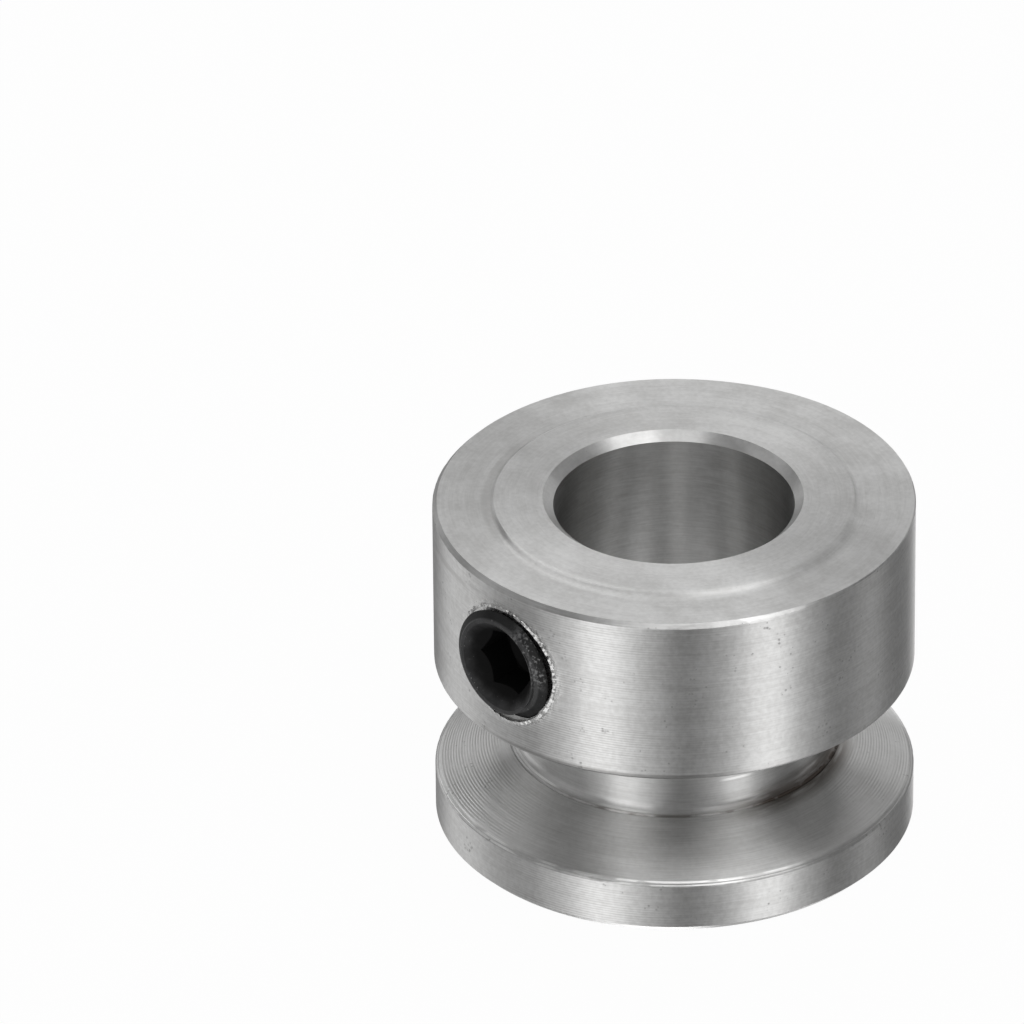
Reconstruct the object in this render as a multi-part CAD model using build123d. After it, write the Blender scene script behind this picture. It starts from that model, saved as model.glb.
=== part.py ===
from build123d import *
from math import radians, tan
import os

# Round belt pulley, in millimetres. It stands on its flange: the turning axis is Z, the flange's end
# face lies at Z = 0, and the set screw that locks it to its shaft comes in along +Y from the -Y side.

# Turned steel body, named in the order it stands: flange, groove, hub
outer_diameter = 20.0
bore_diameter = 10.0
flange_height = 2.3
groove_width = 5.2
groove_floor_width = 2.0
neck_diameter = 13.2
hub_length = 7.5
land_diameter = 15.4
land_height = 0.14
land_slope_width = 0.26

# Edges of the body
bore_chamfer = 0.35
flange_end_chamfer = 0.3
flange_groove_chamfer = 0.2
hub_groove_chamfer = 0.05
hub_end_chamfer = 0.18
neck_fillet = 0.45

# Set screw: a plain cylinder at the crests of its thread, in a hole at the roots of its own
thread_diameter = 5.0
thread_clearance = 0.05
screw_length = 5.0
screw_stand_out = 0.42
screw_above_hub_middle = 0.1
screw_end_face_diameter = 4.24
screw_end_slope = 30.0
socket_across_flats = 2.5
socket_depth = 2.0
socket_mouth_diameter = 3.9
socket_mouth_angle = 90.0
socket_drill_angle = 118.0
cup_diameter = 2.5
cup_angle = 118.0
point_angle = 90.0

# Places that follow from those sizes
outer_radius = outer_diameter / 2
bore_radius = bore_diameter / 2
neck_radius = neck_diameter / 2
land_radius = land_diameter / 2
cheek_rise = (groove_width - groove_floor_width) / 2
groove_top = flange_height + groove_width
hub_end = groove_top + hub_length
hub_rim_end = hub_end - land_height
screw_height = groove_top + hub_length / 2 + screw_above_hub_middle
screw_radius = thread_diameter / 2 - thread_clearance
screw_tip_radius = outer_radius + screw_stand_out - screw_length


# Length along the axis of a cone that widens by a given radius, from its full angle
def cone_length(radius_change, full_angle):
    return radius_change / tan(radians(full_angle / 2))


# Corners of a section nearest to the given radius and height
def corners_at(section, places):
    return [section.vertices().sort_by_distance((radius, height))[0] for radius, height in places]


# One turned piece: a V groove with a flat floor between a thin flange and a long hub. The hub's end
# face has a slightly raised land round the bore, and a tapped hole comes in through the hub's wall.
def pulley_body():
    groove_floor_corners = [
        (neck_radius, flange_height + cheek_rise),
        (neck_radius, groove_top - cheek_rise),
    ]
    outline = [
        (bore_radius, 0),
        (outer_radius, 0),
        (outer_radius, flange_height),
        *groove_floor_corners,
        (outer_radius, groove_top),
        (outer_radius, hub_rim_end),
        (land_radius, hub_rim_end),
        (land_radius - land_slope_width, hub_end),
        (bore_radius, hub_end),
    ]
    broken_edges = [
        (bore_chamfer, [(bore_radius, 0), (bore_radius, hub_end)]),
        (flange_end_chamfer, [(outer_radius, 0)]),
        (flange_groove_chamfer, [(outer_radius, flange_height)]),
        (hub_groove_chamfer, [(outer_radius, groove_top)]),
        (hub_end_chamfer, [(outer_radius, hub_rim_end)]),
    ]
    with BuildPart() as body:
        with BuildSketch(Plane.XZ) as section:
            with BuildLine():
                Polyline(*outline, close=True)
            make_face()
            fillet(corners_at(section, groove_floor_corners), min(neck_fillet, 0.4 * groove_floor_width))
            for size, places in broken_edges:
                chamfer(corners_at(section, places), size)
        revolve(axis=Axis.Z)
        with BuildSketch(screw_plane()):
            Circle(thread_diameter / 2)
        extrude(amount=outer_diameter, mode=Mode.SUBTRACT)
    return body.part


# Plane across the set screw's axis at the middle of the bore, facing out of the hub
def screw_plane():
    return Plane(origin=(0, 0, screw_height), x_dir=(1, 0, 0), z_dir=(0, -1, 0))


# Hexagon socket set screw with a cup point, drawn point down and then laid into its hole
def set_screw():
    cup_radius = cup_diameter / 2
    end_face_radius = screw_end_face_diameter / 2
    outline = [
        (0, cone_length(cup_radius, cup_angle)),
        (cup_radius, 0),
        (screw_radius, cone_length(screw_radius - cup_radius, point_angle)),
        (screw_radius, screw_length - (screw_radius - end_face_radius) * tan(radians(screw_end_slope))),
        (end_face_radius, screw_length),
        (0, screw_length),
    ]
    mouth_radius = socket_mouth_diameter / 2
    drill_radius = socket_across_flats / 2
    socket_floor = screw_length - socket_depth
    socket = [
        (0, socket_floor - cone_length(drill_radius, socket_drill_angle)),
        (drill_radius, socket_floor),
        (0, socket_floor),
    ]
    mouth = [
        (0, screw_length - cone_length(mouth_radius, socket_mouth_angle)),
        (mouth_radius, screw_length),
        (0, screw_length),
    ]
    with BuildPart() as screw:
        with BuildSketch(Plane.XZ):
            with BuildLine():
                Polyline(*outline, close=True)
            make_face()
        revolve(axis=Axis.Z)
        with BuildSketch(Plane.XY.offset(screw_length)):
            RegularPolygon(socket_across_flats / 2, side_count=6, major_radius=False)
        extrude(amount=-socket_depth, mode=Mode.SUBTRACT)
        for cone in (socket, mouth):
            with BuildSketch(Plane.XZ):
                with BuildLine():
                    Polyline(*cone, close=True)
                make_face()
            revolve(axis=Axis.Z, mode=Mode.SUBTRACT)
    return screw_plane() * Pos(0, 0, screw_tip_radius) * screw.part


os.makedirs("parts", exist_ok=True)
nodes = {
    "pulley_body": pulley_body(),
    "set_screw": set_screw(),
}
for name, solid in nodes.items():
    export_step(solid, f"parts/{name}.step")
    print(name, "volume", round(solid.volume, 2), "mm3")
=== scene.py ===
import bmesh
import bpy
import random
from math import atan2, cos, pi, radians, sin, sqrt, tan
from mathutils import Matrix, Quaternion, Vector, noise


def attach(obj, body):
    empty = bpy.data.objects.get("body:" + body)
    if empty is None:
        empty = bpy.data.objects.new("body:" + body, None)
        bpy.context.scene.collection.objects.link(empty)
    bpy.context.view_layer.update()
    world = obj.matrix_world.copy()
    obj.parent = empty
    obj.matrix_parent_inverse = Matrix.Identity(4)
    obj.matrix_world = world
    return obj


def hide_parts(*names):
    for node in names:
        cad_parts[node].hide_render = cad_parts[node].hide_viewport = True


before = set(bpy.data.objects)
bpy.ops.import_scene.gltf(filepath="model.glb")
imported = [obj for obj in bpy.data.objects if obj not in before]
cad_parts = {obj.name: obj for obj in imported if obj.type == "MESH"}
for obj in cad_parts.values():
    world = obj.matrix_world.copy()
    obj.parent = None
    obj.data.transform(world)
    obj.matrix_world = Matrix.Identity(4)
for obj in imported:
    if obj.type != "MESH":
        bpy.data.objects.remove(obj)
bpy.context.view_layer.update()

# Camera. A long lens looks down on the hub from the front right of the set screw. Its place, aim
# and small roll were fitted to the outlines of the hub, the flange and the bore.
camera_place = Vector((0.32515408, -0.33448006, 0.29517694))
camera_aim = Vector((-0.00480532, -0.00467134, 0.01427566))
camera_roll = radians(-0.5263)
camera_azimuth = radians(44.19)
lens = bpy.data.cameras.new("camera")
lens.sensor_width = 36.0
lens.lens = 462.843
lens.clip_start = 0.01
camera = bpy.data.objects.new("camera", lens)
bpy.context.scene.collection.objects.link(camera)
camera.rotation_mode = "QUATERNION"
camera.location = camera_place
sight = (camera_aim - camera_place).to_track_quat("-Z", "Y")
camera.rotation_quaternion = sight @ Quaternion((0, 0, 1), camera_roll)
bpy.context.scene.camera = camera

# Pulley body. One piece of bar steel, turned: flange, V groove with a flat floor, long hub and a
# slightly raised land round the bore. The tool left fine ridges on the groove's cheeks. One tapped
# hole comes in through the hub's wall, with a ragged burr at its mouth. Sizes are in millimetres.
outer_radius = 10.0
bore_radius = 5.0
neck_radius = 6.6
flange_height = 2.3
groove_width = 5.2
groove_floor_width = 2.038
cheek_slope = 0.4655
hub_length = 7.5
groove_middle = flange_height + groove_width / 2
groove_top = flange_height + groove_width
hub_end = groove_top + hub_length

# Edges and small steps of the section
bore_chamfer = 0.35
flange_chamfer = 0.29
hub_chamfer = 0.18
neck_fillet_offset = 0.288
foot_step_depth = 0.056
land_top_radius = 7.39
land_foot_radius = 7.72
land_foot_height = hub_end - 0.14
hub_rim_height = hub_end - 0.13


def cheek(radius):
    return groove_middle - groove_floor_width / 2 - cheek_slope * (radius - neck_radius)


def upper_cheek(radius):
    return 2 * groove_middle - cheek(radius)


def curve(start, corner, end, steps):
    places = []
    for step in range(steps + 1):
        along_first = Vector(start).lerp(Vector(corner), step / steps)
        along_last = Vector(corner).lerp(Vector(end), step / steps)
        places.append(tuple(along_first.lerp(along_last, step / steps)))
    return places


# The section's rings by radius and height, from the flange up to the bore's mouth
flange_foot = (outer_radius, flange_chamfer)
flange_edge = [(0.0, -0.10), (0.035, -0.04), (0.075, -0.005), (0.10, -0.002), (0.12, 0.03), (0.19, 0.085)]
flange_rim = [(outer_radius - inwards, flange_height + upwards) for inwards, upwards in flange_edge]
cheek_start = (9.76, cheek(9.76))
cheek_smooth_from = (7.40, cheek(7.40))
upper_smooth_from = (7.40, upper_cheek(7.40))
hub_edge_start = (outer_radius - 0.08, groove_top - 0.04)
hub_wall_foot = (outer_radius, groove_top + 0.14)
hub_lower_edge = curve(hub_edge_start, (outer_radius, groove_top + 0.005), hub_wall_foot, 4)
hub_wall_top = (outer_radius, hub_rim_height - hub_chamfer)
hub_rim = (outer_radius - hub_chamfer, hub_rim_height)
land_slope = (7.52, hub_end - 0.056)
land = curve((land_foot_radius, land_foot_height), (7.60, land_foot_height), land_slope, 3)
land += curve(land_slope, (7.47, hub_end), (land_top_radius, hub_end), 2)[1:]
bore_mouth = (bore_radius + 0.40, hub_end)
bore_top = (bore_radius, hub_end - 0.32)
bore_bottom = (bore_radius, bore_chamfer)
body_outline = [
    bore_bottom,
    (bore_radius + bore_chamfer, 0.0),
    (outer_radius - flange_chamfer, 0.0),
    flange_foot,
    *flange_rim,
    cheek_start,
    cheek_smooth_from,
    (6.98, cheek(6.98)),
    (6.92, cheek(6.92) - foot_step_depth),
    (6.87, cheek(6.87)),
    (neck_radius, cheek(neck_radius)),
    (neck_radius, upper_cheek(neck_radius)),
    upper_smooth_from,
    *hub_lower_edge,
    hub_wall_top,
    hub_rim,
    *land,
    bore_mouth,
    bore_top,
]
turning_steps = 256
ridge_pitch = 0.1145
ridge_depth = 0.0095


def to_mesh(name, bm):
    mesh = bpy.data.meshes.new(name)
    bm.to_mesh(mesh)
    bm.free()
    thing = bpy.data.objects.new(name, mesh)
    bpy.context.scene.collection.objects.link(thing)
    return thing


def closed_wire(outline):
    bm = bmesh.new()
    corners = [bm.verts.new((r, 0, z)) for r, z in outline]
    for start, end in zip(corners, corners[1:] + corners[:1]):
        bm.edges.new((start, end))
    return bm


def turn(bm, steps=turning_steps):
    wire = bm.verts[:] + bm.edges[:]
    bmesh.ops.spin(bm, geom=wire, angle=2 * pi, steps=steps, axis=(0, 0, 1), cent=(0, 0, 0), use_merge=True)
    bmesh.ops.remove_doubles(bm, verts=bm.verts[:], dist=1e-5)
    bmesh.ops.recalc_face_normals(bm, faces=bm.faces[:])


def wire_edge(bm, start, end):
    def at(vert, place):
        return abs(vert.co.x - place[0]) < 1e-4 and abs(vert.co.z - place[1]) < 1e-4

    for edge in bm.edges:
        one, other = edge.verts
        if (at(one, start) and at(other, end)) or (at(one, end) and at(other, start)):
            return edge


def divide(bm, start, end, cuts):
    divided = bmesh.ops.subdivide_edges(bm, edges=[wire_edge(bm, start, end)], cuts=cuts)
    places = [part for part in divided["geom_inner"] if isinstance(part, bmesh.types.BMVert)]
    start_place = Vector((start[0], 0, start[1]))
    return sorted(places, key=lambda vert: (vert.co - start_place).length)


# Ridges of the turning tool along a cheek: hollows of uneven depth, cut into the metal
def scallop(bm, start, end, seed):
    run = Vector((end[0] - start[0], 0, end[1] - start[1]))
    count = round(abs(run.x) / ridge_pitch)
    into_metal = run.cross(Vector((0, 1, 0))).normalized()
    if into_metal.z * (groove_middle - start[1]) > 0:
        into_metal.negate()
    chance = random.Random(seed)
    depths = [ridge_depth * chance.uniform(0.6, 1.5) for _ in range(count)]
    for place, vert in enumerate(divide(bm, start, end, 4 * count - 1), start=1):
        through = place % 4 / 4
        vert.co += into_metal * depths[place // 4] * 4 * through * (1 - through)


def cut(target, tool, operation="DIFFERENCE"):
    modifier = target.modifiers.new("cut", "BOOLEAN")
    modifier.operation = operation
    modifier.object = tool
    modifier.solver = "MANIFOLD"
    depsgraph = bpy.context.evaluated_depsgraph_get()
    result = bpy.data.meshes.new_from_object(target.evaluated_get(depsgraph))
    target.modifiers.clear()
    target.data = result
    result.name = target.name
    bpy.data.objects.remove(tool)


def finish_mesh(thing, sharp_angle):
    mesh = thing.data
    bm = bmesh.new()
    bm.from_mesh(mesh)
    bmesh.ops.remove_doubles(bm, verts=bm.verts[:], dist=1e-3)
    bmesh.ops.dissolve_degenerate(bm, dist=1e-3, edges=bm.edges[:])
    bmesh.ops.recalc_face_normals(bm, faces=bm.faces[:])
    bm.to_mesh(mesh)
    bm.free()
    mesh.transform(Matrix.Scale(0.001, 4))
    mesh.shade_smooth()
    mesh.set_sharp_from_angle(angle=radians(sharp_angle))
    mesh.update()


def on_ring(vert, ring):
    return abs(vert.co.z - ring[1]) < 1e-4 and abs(vert.co.xy.length - ring[0]) < 1e-3


# Where a place lies round the axis, seen from the camera: 0 is nearest to it, more is further right
def seen_aside(place):
    rightwards = place.x * cos(camera_azimuth) + place.y * sin(camera_azimuth)
    towards_camera = place.x * sin(camera_azimuth) - place.y * cos(camera_azimuth)
    return atan2(rightwards, towards_camera)


def eased(value, low, high):
    share = min(1.0, max(0.0, (value - low) / (high - low)))
    return share * share * (3 - 2 * share)


# How far an angle lies in a zone: it comes in between the first two degrees and fades between the last
def in_zone(angle, begins, full, fades, gone):
    fallen = eased(angle, radians(fades), radians(gone))
    return eased(angle, radians(begins), radians(full)) * (1.0 - fallen)


bm = closed_wire(body_outline)
scallop(bm, cheek_start, cheek_smooth_from, seed=3)
scallop(bm, hub_edge_start, upper_smooth_from, seed=5)
divide(bm, hub_wall_foot, hub_wall_top, 28)
divide(bm, flange_foot, flange_rim[0], 6)
divide(bm, bore_top, bore_bottom, 40)
divide(bm, hub_rim, land[0], 4)
divide(bm, land[-1], bore_mouth, 4)
floor_corners = [vert for vert in bm.verts if abs(vert.co.x - neck_radius) < 1e-4]
bmesh.ops.bevel(
    bm, geom=floor_corners, offset=neck_fillet_offset, offset_type="OFFSET",
    segments=6, profile=0.5, affect="VERTICES", material=-1,
)
turn(bm)

# Nothing on it is quite even. The bore's mouth is off centre, the hub's end was broken less on the
# right, and the ridges on the flange's cheek are rubbed smooth at the front. Edges are nicked.
mouth_heading = camera_azimuth - radians(150)
mouth_shift = 0.07 * Vector((sin(mouth_heading), -cos(mouth_heading), 0))
for vert in bm.verts:
    turned_radius = vert.co.xy.length
    aside = seen_aside(vert.co)
    broken = hub_chamfer * (1.0 - 0.72 * in_zone(aside, 5, 50, 130, 175))
    on_ridges = cheek_smooth_from[0] < turned_radius < cheek_start[0]
    on_land = land_top_radius < turned_radius < land_foot_radius + 0.01
    if on_ring(vert, bore_mouth):
        vert.co += mouth_shift
    elif on_ring(vert, hub_wall_top):
        vert.co.z = hub_rim_height - broken
    elif on_ring(vert, hub_rim):
        vert.co.xy *= (outer_radius - broken) / turned_radius
    elif on_land and vert.co.z > land_foot_height - 0.001:
        stretched = 1.0 + 1.1 * in_zone(aside, -75, -45, 60, 85)
        vert.co.xy *= (land_top_radius + (turned_radius - land_top_radius) * stretched) / turned_radius
    elif on_ridges and flange_height < vert.co.z < groove_middle:
        sharpness = 0.08 + 0.90 * eased(-aside, radians(36), radians(58))
        sharpness += 0.50 * eased(aside, radians(52), radians(76))
        sharpness += 0.40 * eased(aside, radians(120), radians(175))
        vert.co.z = cheek(turned_radius) + sharpness * (vert.co.z - cheek(turned_radius))
edge_wear = 0.02
worn_rings = hub_lower_edge[::2] + [flange_rim[0], flange_rim[2], flange_rim[5]]
for vert in bm.verts:
    on_hub_corner = vert.co.z > hub_wall_top[1] - 0.01 and vert.co.xy.length > hub_rim[0] - 0.02
    if on_hub_corner or any(on_ring(vert, ring) for ring in worn_rings):
        nick = noise.noise(vert.co * 1.3) * 0.5 + noise.noise(vert.co * 4.1)
        inwards = Vector((-vert.co.x, -vert.co.y, 0)).normalized()
        vert.co += inwards * edge_wear * max(0.0, nick)
pulley = to_mesh("turned_body", bm)

# The tapped hole's thread, and the set screw's, which is cut with the same tool a little smaller
thread_pitch = 0.8
thread_crest_radius = 2.45
thread_root_radius = 2.01
thread_clearance = 0.05
thread_steps = 64
screw_length = 5.0
screw_stand_out = 0.42
screw_above_hub_middle = 0.1
screw_height = groove_top + hub_length / 2 + screw_above_hub_middle
screw_tip_radius = outer_radius + screw_stand_out - screw_length
screw_place = Matrix.Translation((0, 0, screw_height)) @ Matrix.Rotation(radians(90), 4, "X")


def threaded_bar(name, start, end, clearance):
    bm = bmesh.new()
    first_turn = int(start // thread_pitch) - 1
    turns = int((end - start) / thread_pitch) + 4
    crest = thread_crest_radius + clearance
    root = thread_root_radius + clearance
    one_pitch = [(root, 0), (root, 1), (crest, 3.5), (crest, 4.5), (root, 7), (root, 8)]
    corners = []
    for radius, eighths in one_pitch:
        corners.append(bm.verts.new((radius, 0, (first_turn + eighths / 8) * thread_pitch)))
    for one, other in zip(corners, corners[1:]):
        bm.edges.new((one, other))
    wire = bm.verts[:] + bm.edges[:]
    bmesh.ops.spin(
        bm, geom=wire, angle=2 * pi * turns, steps=turns * thread_steps, axis=(0, 0, 1),
        cent=(0, 0, 0), dvec=Vector((0, 0, thread_pitch / thread_steps)),
    )
    bmesh.ops.remove_doubles(bm, verts=bm.verts[:], dist=1e-4)
    for height, direction in ((start, -1), (end, 1)):
        everything = bm.verts[:] + bm.edges[:] + bm.faces[:]
        plane = {"plane_co": (0, 0, height), "plane_no": (0, 0, direction)}
        bmesh.ops.bisect_plane(bm, geom=everything, clear_outer=True, **plane)
        open_edges = [edge for edge in bm.edges if edge.is_boundary]
        rim = [edge for edge in open_edges if all(abs(v.co.z - height) < 1e-4 for v in edge.verts)]
        bmesh.ops.edgeloop_fill(bm, edges=rim)
    bmesh.ops.recalc_face_normals(bm, faces=bm.faces[:])
    bmesh.ops.transform(bm, matrix=screw_place, verts=bm.verts[:])
    return to_mesh(name, bm)


cut(pulley, threaded_bar("hole_tool", bore_radius - 1, outer_radius + 1, thread_clearance))

# The burr that the tap threw up round the hole's mouth, thickest at its lower right
burr_radius = 2.47
burr_width = 0.27
burr_foot = -0.20
burr_outline = [
    (burr_radius, burr_foot),
    (burr_radius + 0.05, 0.06),
    (burr_radius + 0.13, 0.03),
    (burr_radius + burr_width, burr_foot),
]
bm = closed_wire(burr_outline)
turn(bm, 360)
for vert in bm.verts:
    around = atan2(vert.co.y, vert.co.x)
    heavy = 1.3 * max(0.0, cos(around + radians(66))) ** 5
    heavy += 0.4 * max(0.0, cos(around - radians(195))) ** 4
    ragged = noise.noise(vert.co * 2.7) + 0.9 * noise.noise(vert.co * 6.3) + 0.3 * noise.noise(vert.co * 13.1)
    spread = (vert.co.xy.length - burr_radius) / burr_width
    out_by = spread * (0.02 + 0.16 * heavy + 0.10 * ragged)
    vert.co.xy += vert.co.xy.normalized() * out_by
    if vert.co.z > 0:
        vert.co.z += 0.07 * heavy + 0.05 * ragged
    vert.co.z += sqrt(outer_radius ** 2 - vert.co.x ** 2)
bmesh.ops.transform(bm, matrix=screw_place, verts=bm.verts[:])
cut(pulley, to_mesh("burr", bm), "UNION")
finish_mesh(pulley, 22)


# A value in a shader: sums and products of such values become maths nodes
class Sockets:
    def __init__(self, tree, socket):
        self.tree = tree
        self.socket = socket

    def node(self, kind, settings, *values, output=0):
        made = self.tree.nodes.new(kind)
        for name, value in settings.items():
            setattr(made, name, value)
        for place, value in enumerate(values):
            if isinstance(value, dict):
                for name, given in value.items():
                    self.join(made.inputs[name], given)
            else:
                self.join(made.inputs[place], value)
        return Sockets(self.tree, made.outputs[output])

    def join(self, target, value):
        if isinstance(value, Sockets):
            self.tree.links.new(value.socket, target)
        else:
            target.default_value = value

    def out(self, name):
        return Sockets(self.tree, self.socket.node.outputs[name])

    def math(self, operation, *values):
        return self.node("ShaderNodeMath", {"operation": operation}, *values)

    def sine(self):
        return self.math("SINE", self)

    def cosine(self):
        return self.math("COSINE", self)

    def larger(self, other):
        return self.math("MAXIMUM", self, other)

    def __add__(self, other):
        return self.math("ADD", self, other)

    def __radd__(self, other):
        return self.math("ADD", other, self)

    def __sub__(self, other):
        return self.math("SUBTRACT", self, other)

    def __rsub__(self, other):
        return self.math("SUBTRACT", other, self)

    def __mul__(self, other):
        return self.math("MULTIPLY", self, other)

    def __rmul__(self, other):
        return self.math("MULTIPLY", other, self)

    def __truediv__(self, other):
        return self.math("DIVIDE", self, other)

    def __pow__(self, other):
        return self.math("POWER", self, other)


def material(name):
    made = bpy.data.materials.new(name)
    made.use_nodes = True
    shader = made.node_tree.nodes["Principled BSDF"]
    coordinates = made.node_tree.nodes.new("ShaderNodeTexCoord")
    return made, shader, Sockets(made.node_tree, coordinates.outputs["Object"])


def link(socket, value):
    value.tree.links.new(value.socket, socket)


def millimetres(place):
    scaled = place.node("ShaderNodeVectorMath", {"operation": "SCALE"}, {0: place, "Scale": 1000.0})
    apart = scaled.node("ShaderNodeSeparateXYZ", {}, scaled)
    return scaled, apart.out("X"), apart.out("Y"), apart.out("Z")


def grain(vector, scale, detail=2.0, roughness=0.5):
    wanted = {"Vector": vector, "Scale": scale, "Detail": detail, "Roughness": roughness}
    return vector.node("ShaderNodeTexNoise", {"noise_dimensions": "3D"}, wanted)


def ramp(value, low, high):
    return value.node("ShaderNodeMapRange", {"interpolation_type": "SMOOTHSTEP"}, value, low, high, 0.0, 1.0)


def band(value, low, high, soft):
    return ramp(value, low - soft, low + soft) * (1.0 - ramp(value, high - soft, high + soft))


def mixed(share, one, other):
    return share.node("ShaderNodeMix", {"data_type": "RGBA"}, {0: share, 6: one, 7: other}, output=2)


def distance(one, other):
    return (one * one + other * other) ** 0.5


# Bump from heights in micrometres
def bumped(height):
    return height.node("ShaderNodeBump", {}, {"Strength": 1.0, "Distance": 0.000001, "Height": height})


turned_steel, steel, steel_place = material("turned_steel")
steel.inputs["Metallic"].default_value = 1.0
steel.inputs["Anisotropic"].default_value = 0.85
steel.inputs["Anisotropic Rotation"].default_value = 0.25

# Everything on the turned faces runs round the axis: a streak is long round it and fine across it
point, x, y, z = millimetres(steel_place)
radius = distance(x, y)
across_streaks = radius - z


def streaks(length, fineness, detail=3.0):
    round_x = x / radius * length
    round_y = y / radius * length
    vector = point.node("ShaderNodeCombineXYZ", {}, round_x, round_y, across_streaks * fineness)
    return grain(vector, 1.0, detail, 0.6)


fine_lines = streaks(5.0, 13.0)
broad_lines = streaks(1.6, 3.0, 2.0)
breaks = streaks(6.0, 1.2, 2.0)
patches = streaks(2.4, 2.2)
blotches = grain(point, 0.55, 3.0)
frost = grain(point, 5.0, 3.0)

# Angle round the axis, seen from the camera as above
rightwards = x * cos(camera_azimuth) + y * sin(camera_azimuth)
towards_camera = x * sin(camera_azimuth) - y * cos(camera_azimuth)
aside = point.math("ARCTAN2", rightwards, towards_camera)

# Feed marks of the turning tool: on the outer walls by height, on the groove's cheeks by radius
feed = 2 * pi / ridge_pitch
on_wall = ramp(radius, outer_radius - 0.07, outer_radius - 0.03)
on_cheek = ramp(radius, 7.1, 7.8) * (1.0 - on_wall) * ramp(z, 2.0, 2.2) * (1.0 - ramp(z, 8.0, 8.2))
patchy = ramp(streaks(1.3, 0.8, 2.0), 0.30, 0.62) * (0.2 + 1.1 * band(aside, -0.72, -0.12, 0.16))
wall_feed = (z * feed + broad_lines * 4.0).sine() * on_wall * patchy
unrubbed = band(aside, -1.8, -0.85, 0.12) + 0.6 * band(aside, 1.05, 1.8, 0.2)
broken_lines = 0.3 + 1.4 * ramp(breaks, 0.40, 0.60)
cheek_feed = ((cheek_start[0] - radius) * feed).cosine() * on_cheek * unrubbed * broken_lines

# Small dark pits, which come in clusters
pit_cells = point.node("ShaderNodeTexVoronoi", {"feature": "F1"}, {"Vector": point, "Scale": 5.0})
pitted = 0.25 + 0.75 * on_wall + 0.75 * on_cheek * unrubbed
clusters = 0.01 + 0.32 * ramp(grain(point, 1.1, 2.0), 0.50, 0.74) * pitted
pits = 1.0 - ramp(pit_cells.out("Distance") / clusters, 0.2, 1.5)

# Torn metal round the tapped hole
from_hole = distance(x, z - screw_height)
torn = (1.0 - ramp(from_hole, 2.60, 3.05)) * ramp(0.0 - y, 8.0, 9.0)
scuffs = grain(point, 4.5, 3.0)

# Painted shade with some grime in the corner at the neck's foot, widest and smudged further out at the front
# right
foot_corner = (6.885, 3.71)
from_foot = distance(radius - foot_corner[0], z - foot_corner[1])
shade_widens = band(aside, 0.55, 1.6, 0.15)
uneven_spots = ramp(grain(point, 1.2, 3.0), 0.4, 0.6)
corner_shade = (1.0 - ramp(from_foot, 0.02, 0.10 + 0.14 * shade_widens)) * (0.25 + 0.55 * uneven_spots + 0.6 * shade_widens)
corner_shade = corner_shade * ramp(aside, -0.90, -0.65)
smear_and_shade = (1.0 - ramp(from_foot, 0.15, 0.95)) * band(aside, 0.42, 1.5, 0.25) * ramp(patches, 0.20, 0.55)
shade_and_dirt = corner_shade.larger(smear_and_shade)

# Painted highlights on bright, partly scuffed edges: the flange's rim, the hub's two rims, the lip over the
# neck's foot, a scratched streak on the neck and the land's edge, each only where it catches the light
flange_rim_band = band(z, 2.24, 2.40, 0.012) * (1.0 - band(z, 2.297, 2.335, 0.008))
flange_rim_highlight = flange_rim_band * ramp(radius, 9.78, 9.80) * (1.0 - ramp(aside, 0.30, 0.7))
hub_rim_highlight = band(z, 14.66, 14.88, 0.02) * ramp(radius, 9.80, 9.84) * band(aside, -0.12, 0.45, 0.15)
left_rim_highlight = band(z, 2.24, 2.42, 0.012) * ramp(radius, 9.74, 9.78) * band(aside, -1.40, -1.0, 0.06)
lip_corner = (6.77, 3.80)
from_lip = distance(radius - lip_corner[0], z - lip_corner[1])
lip_stretches = band(aside, -1.35, -0.80, 0.06) + 0.5 * band(aside, -0.48, -0.14, 0.05)
lip = (1.0 - ramp(from_lip, 0.03, 0.07)) * lip_stretches
on_neck = 1.0 - ramp(radius, neck_radius + 0.1, neck_radius + 0.2)
scratch_glint = on_neck * band(z, 5.06, 5.17, 0.03) * band(aside, 0.30, 0.50, 0.06)
on_top = ramp(z, land_foot_height - 0.04, land_foot_height)
land_edge_highlight = on_top * band(radius, 7.45, 7.60, 0.02) * band(aside, -3.0, -2.25, 0.10)
wear_and_highlights = (flange_rim_highlight + hub_rim_highlight * 0.8) * ramp(breaks, 0.40, 0.60)
wear_and_highlights = wear_and_highlights + left_rim_highlight + lip + scratch_glint + land_edge_highlight * 0.8

# Darker stretches: painted shade on the land's foot at the left, scrapes on the hub's wall left of the
# screw and under the rim, and a line of painted shade along the hub's lower edge at the front
step_shade = on_top * band(radius, 7.55, 7.95, 0.10) * band(aside, -2.15, -1.20, 0.20)
scraped = on_wall * band(z, 13.2, 14.7, 0.3) * band(aside, -1.40, -0.85, 0.15) * ramp(patches, 0.52, 0.66)
under_edge_shade = band(z, 7.44, 7.68, 0.03) * ramp(radius, 9.8, 9.9) * band(aside, -0.85, 0.2, 0.2)

tone = (fine_lines - 0.5) * (0.8 - 0.3 * on_top) + (broad_lines - 0.5) * 0.35
tone = tone + (blotches - 0.5) * (0.5 + 0.5 * on_top)
tone = tone + (frost - 0.5) * (0.35 + 0.4 * on_wall + 0.2 * on_top) + 0.5
tone = tone + torn * (scuffs - 0.5) * 1.8 + wall_feed * 0.20 + cheek_feed * 0.32
# Painted shade on the land's foot at the left
tone = tone - scraped * 0.5 - step_shade * 0.35
dark_steel = (0.49, 0.487, 0.48, 1)
light_steel = (0.71, 0.71, 0.705, 1)
highlight_steel = (0.96, 0.96, 0.95, 1)
pit_and_shade_colour = (0.16, 0.155, 0.15, 1)
shade_and_dirt_colour = (0.13, 0.11, 0.095, 1)
surface = mixed(ramp(tone, 0.0, 1.0), dark_steel, light_steel)
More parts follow.
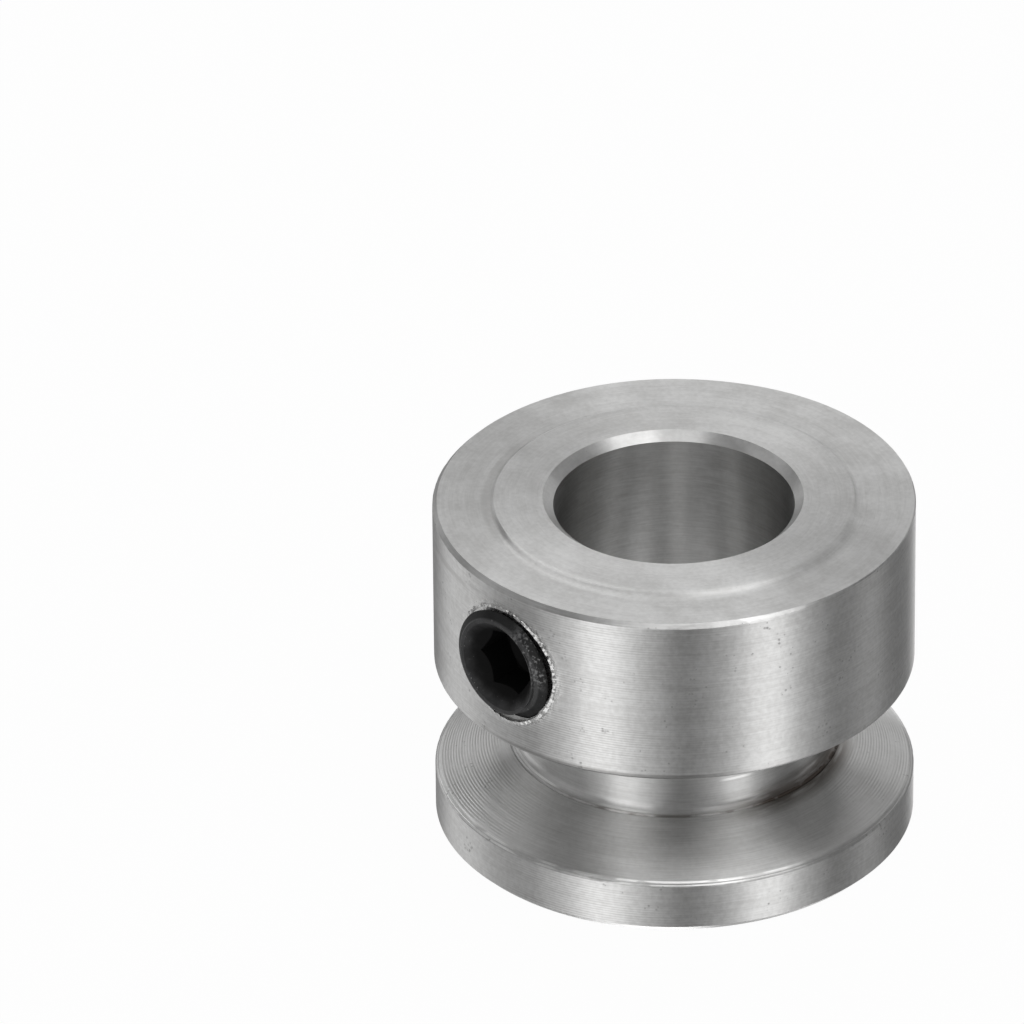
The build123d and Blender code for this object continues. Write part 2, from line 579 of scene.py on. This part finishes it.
# Painted highlights: near-white steel on the edges where they catch the light
surface = mixed(ramp(wear_and_highlights, 0.0, 1.0) * 0.85, surface, highlight_steel)
# Painted shade: the corner at the neck's foot is darkened with a brownish colour
surface = mixed(shade_and_dirt * 0.85, surface, shade_and_dirt_colour)
# Painted shade: a dark line along the hub's lower edge at the front
surface = mixed(under_edge_shade * 0.55, surface, pit_and_shade_colour)
surface = mixed(pits * 0.4, surface, pit_and_shade_colour)
dullness = 0.33 + (fine_lines - 0.5) * 0.12 + (blotches - 0.5) * 0.08
dullness = dullness + pits * 0.2 + torn * (scuffs - 0.6) * 0.5
relief = fine_lines * 1.3 + broad_lines * 1.8 + blotches * 6.0
relief = relief + frost * (0.6 + 1.0 * on_wall) + wall_feed * 1.2 + torn * scuffs * 24.0
link(steel.inputs["Base Color"], surface)
link(steel.inputs["Roughness"], dullness)
link(steel.inputs["Normal"], bumped(relief))

pulley.data.materials.clear()
pulley.data.materials.append(turned_steel)
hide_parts("pulley_body")
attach(pulley, "pulley")

# Set screw. M5 x 5 hexagon socket set screw with a cup point: steel with a black oxide finish,
# screwed into the hub's wall until it bites the shaft. Its outer end stands a little proud of the hub.
cup_radius = 1.25
cup_depth = cup_radius / tan(radians(59))
blank_radius = 2.60
screw_end_radius = 2.12
screw_end_slope = 0.28
socket_across_flats = 2.5
socket_mouth_radius = 1.95
socket_depth = 2.0
socket_floor = screw_length - socket_depth


def turned_tool(name, outline):
    bm = closed_wire(outline)
    turn(bm, 96)
    bmesh.ops.dissolve_degenerate(bm, dist=1e-5, edges=bm.edges[:])
    bmesh.ops.translate(bm, vec=(0, 0, screw_tip_radius), verts=bm.verts[:])
    bmesh.ops.transform(bm, matrix=screw_place, verts=bm.verts[:])
    return to_mesh(name, bm)


blank = [
    (0.0, cup_depth),
    (cup_radius, 0.0),
    (blank_radius, blank_radius - cup_radius),
    (blank_radius, screw_length - screw_end_slope),
    (screw_end_radius, screw_length),
    (0.0, screw_length),
]
spare = 0.5
bar_end = screw_tip_radius + screw_length + spare
screw = threaded_bar("socket_set_screw", screw_tip_radius - spare, bar_end, 0.0)
cut(screw, turned_tool("blank", blank), "INTERSECT")

# The socket: a hexagon, a drilled floor below it and a countersunk mouth of 90 degrees
bm = bmesh.new()
bmesh.ops.create_circle(bm, cap_ends=True, segments=6, radius=socket_across_flats / 2 / cos(pi / 6))
raised = bmesh.ops.extrude_face_region(bm, geom=bm.faces[:])
upper_corners = [part for part in raised["geom"] if isinstance(part, bmesh.types.BMVert)]
bmesh.ops.translate(bm, vec=(0, 0, socket_depth + 1), verts=upper_corners)
bmesh.ops.rotate(bm, cent=(0, 0, 0), matrix=Matrix.Rotation(radians(30), 3, "Z"), verts=bm.verts[:])
bmesh.ops.recalc_face_normals(bm, faces=bm.faces[:])
bmesh.ops.translate(bm, vec=(0, 0, screw_tip_radius + socket_floor), verts=bm.verts[:])
bmesh.ops.transform(bm, matrix=screw_place, verts=bm.verts[:])
cut(screw, to_mesh("hexagon", bm))
drill_radius = socket_across_flats / 2 - 0.005
drill_top = socket_floor + 0.004
drill_tip = drill_top - drill_radius / tan(radians(59))
cut(screw, turned_tool("drill", [(0, drill_tip), (drill_radius, drill_top), (0, drill_top)]))
mouth_top = screw_length + 0.3
mouth_top_radius = socket_mouth_radius + 0.3
mouth = [(0, mouth_top - mouth_top_radius), (mouth_top_radius, mouth_top), (0, mouth_top)]
cut(screw, turned_tool("mouth", mouth))
finish_mesh(screw, 28)

# Its oxide is a thin uneven film, rubbed through in specks and along the end's edge
black_oxide, oxide, oxide_place = material("black_oxide_steel")
point, x, y, z = millimetres(oxide_place)
from_axis = distance(x, z - screw_height)
film = grain(point, 1.6, 3.0)
crystals = grain(point, 9.0, 3.0)
towards_rub = (x * cos(radians(30)) + (z - screw_height) * sin(radians(30))) / from_axis
outer_end = ramp(0.0 - y, outer_radius - 0.05, outer_radius + 0.10)
end_edge = ramp(towards_rub, 0.72, 0.96) * ramp(from_axis, 1.92, 1.98)
scratched = end_edge * ramp(crystals * 0.6 + film * 0.4, 0.46, 0.60) * outer_end
specks = ramp(crystals, 0.68, 0.73) * ramp(from_axis, 1.3, 1.9) * outer_end
rubbed = specks.larger(scratched * 0.55)
thick_film = (0.010, 0.010, 0.0105, 1)
thin_film = (0.030, 0.030, 0.031, 1)
bare_metal = (0.30, 0.30, 0.30, 1)
black = mixed(ramp(film, 0.3, 0.7), thick_film, thin_film)
link(oxide.inputs["Base Color"], mixed(rubbed, black, bare_metal))
link(oxide.inputs["Metallic"], rubbed)
link(oxide.inputs["Roughness"], 0.34 + film * 0.15 + (crystals - 0.5) * 0.3)
link(oxide.inputs["Normal"], bumped(film * 9.0 + crystals * 12.0))

# Down in the socket, and in the thread's gap round the end face, it is darkened with painted shade and made
# duller
recess_shade_black = (0.006, 0.006, 0.006, 1)
dull = oxide_place.node("ShaderNodeBsdfPrincipled", {}, {"Base Color": recess_shade_black})
dull_inputs = dull.socket.node.inputs
dull_inputs["Roughness"].default_value = 0.6
dull_inputs["Specular IOR Level"].default_value = 0.12
in_socket = 1.0 - ramp(from_axis + (film - 0.5) * 0.4, 1.50, 1.98)
recess_shade = in_socket.larger(ramp(from_axis, 2.13, 2.20) * 0.7) * (1.0 - scratched)
polished = Sockets(black_oxide.node_tree, oxide.outputs[0])
finish = recess_shade.node("ShaderNodeMixShader", {}, recess_shade, polished, dull)
link(black_oxide.node_tree.nodes["Material Output"].inputs["Surface"], finish)

screw.data.materials.clear()
screw.data.materials.append(black_oxide)
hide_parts("set_screw")
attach(screw, "set_screw")

# Floor. A plain white paper sweep that the pulley stands on. The camera sees it as white, with a
# faint shadow, and the metal doesn't mirror it: the lowest lamps stand for its light.
bm = bmesh.new()
bmesh.ops.create_grid(bm, x_segments=1, y_segments=1, size=3.0)
sweep = to_mesh("floor", bm)
white_floor, paper, floor_place = material("white_floor")
paper.inputs["Base Color"].default_value = (0.8, 0.8, 0.8, 1)
paper.inputs["Roughness"].default_value = 0.9
straight_to_camera = floor_place.node("ShaderNodeLightPath", {})
glow = floor_place.node("ShaderNodeEmission", {}, (1, 1, 1, 1), 1.0)
matt = Sockets(white_floor.node_tree, paper.outputs[0])
seen = floor_place.node("ShaderNodeMixShader", {}, straight_to_camera * 0.97, matt, glow)
link(white_floor.node_tree.nodes["Material Output"].inputs["Surface"], seen)
sweep.data.materials.append(white_floor)
sweep.visible_glossy = False
sweep.visible_shadow = False

# Light. A plain studio: soft boxes round the table at four heights. The lowest ring stands for the
# white table's own light, which the turned metal mirrors as upright bands; the dark between them is
# the room.
scene = bpy.context.scene
scene.view_settings.view_transform = "Standard"
world = bpy.data.worlds.new("studio")
scene.world = world
world.use_nodes = True
background = world.node_tree.nodes["Background"]
background.inputs["Color"].default_value = (1, 1, 1, 1)
straight_to_camera = Sockets(world.node_tree, None).node("ShaderNodeLightPath", {})
link(background.inputs["Strength"], 0.22 + straight_to_camera * 0.78)

# Each lamp's name, azimuth and elevation seen from the pulley (azimuth 0 is at the camera), degrees
# across and tall, and strength
lamps = [
    ("right_wide", 45, -28, 60, 66, 0.22),
    ("right_middle", 45, -28, 40, 66, 0.30),
    ("right_core", 45, -28, 20, 66, 0.75),
    ("left_wide", -35, -28, 60, 66, 0.38),
    ("left_middle", -35, -28, 40, 66, 0.28),
    ("left_core", -35, -28, 20, 66, 0.58),
    ("left_side", -80, -28, 30, 66, 0.15),
    ("left_back_wide", -120, -28, 50, 66, 0.35),
    ("left_back_core", -120, -28, 30, 66, 0.28),
    ("behind", 172, -28, 30, 66, 1.10),
    ("under", -170, -75, 50, 28, 3.00),
    ("right_side", 105, -28, 20, 66, 0.23),
    ("front_left", -30, 20, 30, 30, 1.14),
    ("left", -80, 20, 50, 30, 0.20),
    ("back", 177, 20, 88, 30, 0.40),
    ("front_right", 45, 48, 50, 26, 1.30),
    ("back_right", 145, 48, 30, 26, 0.40),
    ("back_middle", 180, 48, 20, 26, 0.86),
    ("back_left", 200, 48, 20, 26, 1.37),
    ("back_far_left", 230, 48, 40, 26, 0.42),
    ("over_front", 0, 72, 90, 22, 1.65),
    ("over_right", 102, 72, 90, 22, 1.45),
    ("over_back", 180, 72, 90, 22, 0.51),
]
pulley_middle = Vector((0, 0, 0.008))
for number, (name, azimuth, elevation, across, tall, strength) in enumerate(lamps):
    lamp_distance = 0.5 + 0.01 * number
    lamp = bpy.data.lights.new(name, "AREA")
    lamp.shape = "RECTANGLE"
    heading = camera_azimuth + radians(azimuth)
    lift = radians(elevation)
    lamp.size = 2 * lamp_distance * cos(lift) * min(1.0, tan(radians(across / 2)))
    lamp.size_y = 2 * lamp_distance * tan(radians(tall / 2))
    lamp.energy = strength * lamp.size * lamp.size_y * pi
    towards = Vector((sin(heading) * cos(lift), -cos(heading) * cos(lift), sin(lift)))
    holder = bpy.data.objects.new(name, lamp)
    holder.location = towards * lamp_distance + pulley_middle
    holder.rotation_mode = "QUATERNION"
    holder.rotation_quaternion = towards.to_track_quat("Z", "Y")
    holder.visible_camera = False
    scene.collection.objects.link(holder)
